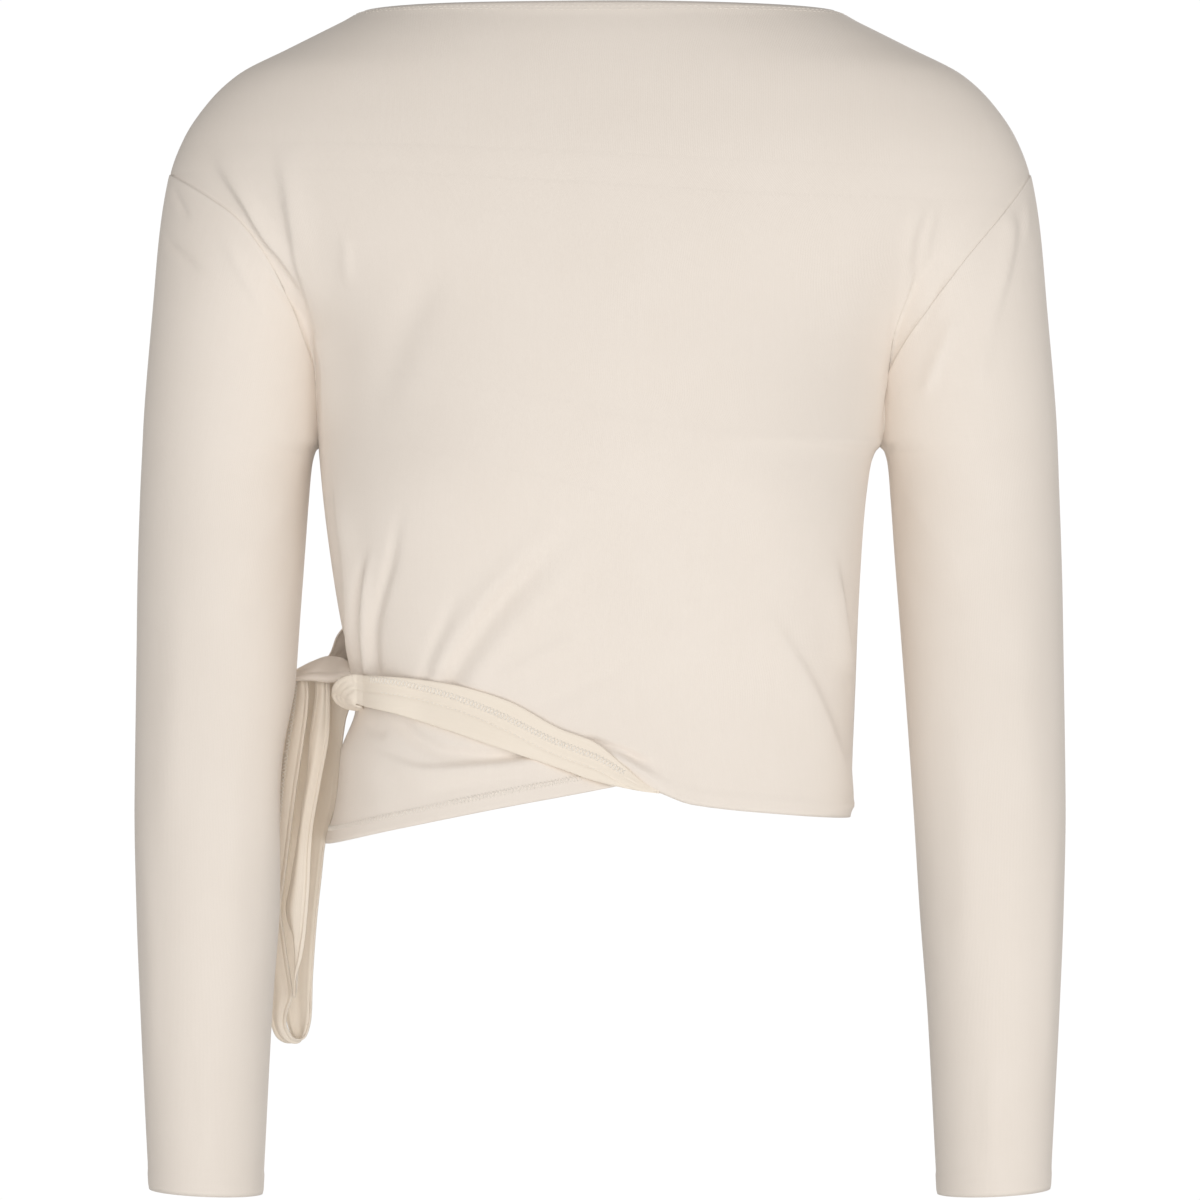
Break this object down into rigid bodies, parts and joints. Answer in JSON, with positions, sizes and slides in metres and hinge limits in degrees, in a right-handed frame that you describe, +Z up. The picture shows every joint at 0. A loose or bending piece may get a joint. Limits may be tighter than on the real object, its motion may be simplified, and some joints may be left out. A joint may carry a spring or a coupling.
{
  "type": "wrap top",
  "caption": "Cropped long-sleeved jersey wrap top with a boat neck, drop shoulders and a side-tied front, in the shape it has when worn.",
  "frame": {"origin": "middle of the neck opening, level with the points where neck and shoulder seams meet", "axes": "+Z up along the body, -Y out of the front, +X towards the side without the knot"},
  "size_m": [0.5052, 0.205, 0.6445],
  "materials": {
    "jersey": "matte fine knit, cream",
    "jersey_wrong_side": "matte fine knit, wrong side out, cream"
  },
  "bodies": {
    "root": {"front_over_panel": "jersey", "front_under_panel": "jersey", "back_panel": "jersey", "sleeve_plain_side": "jersey", "sleeve_knot_side": "jersey", "tie_band": "jersey_wrong_side", "back_tie": "jersey", "knot_cap": "jersey", "knot_ring": "jersey_wrong_side", "tie_loop": "jersey_wrong_side", "tie_end": "jersey_wrong_side"}
  },
  "joints": []
}
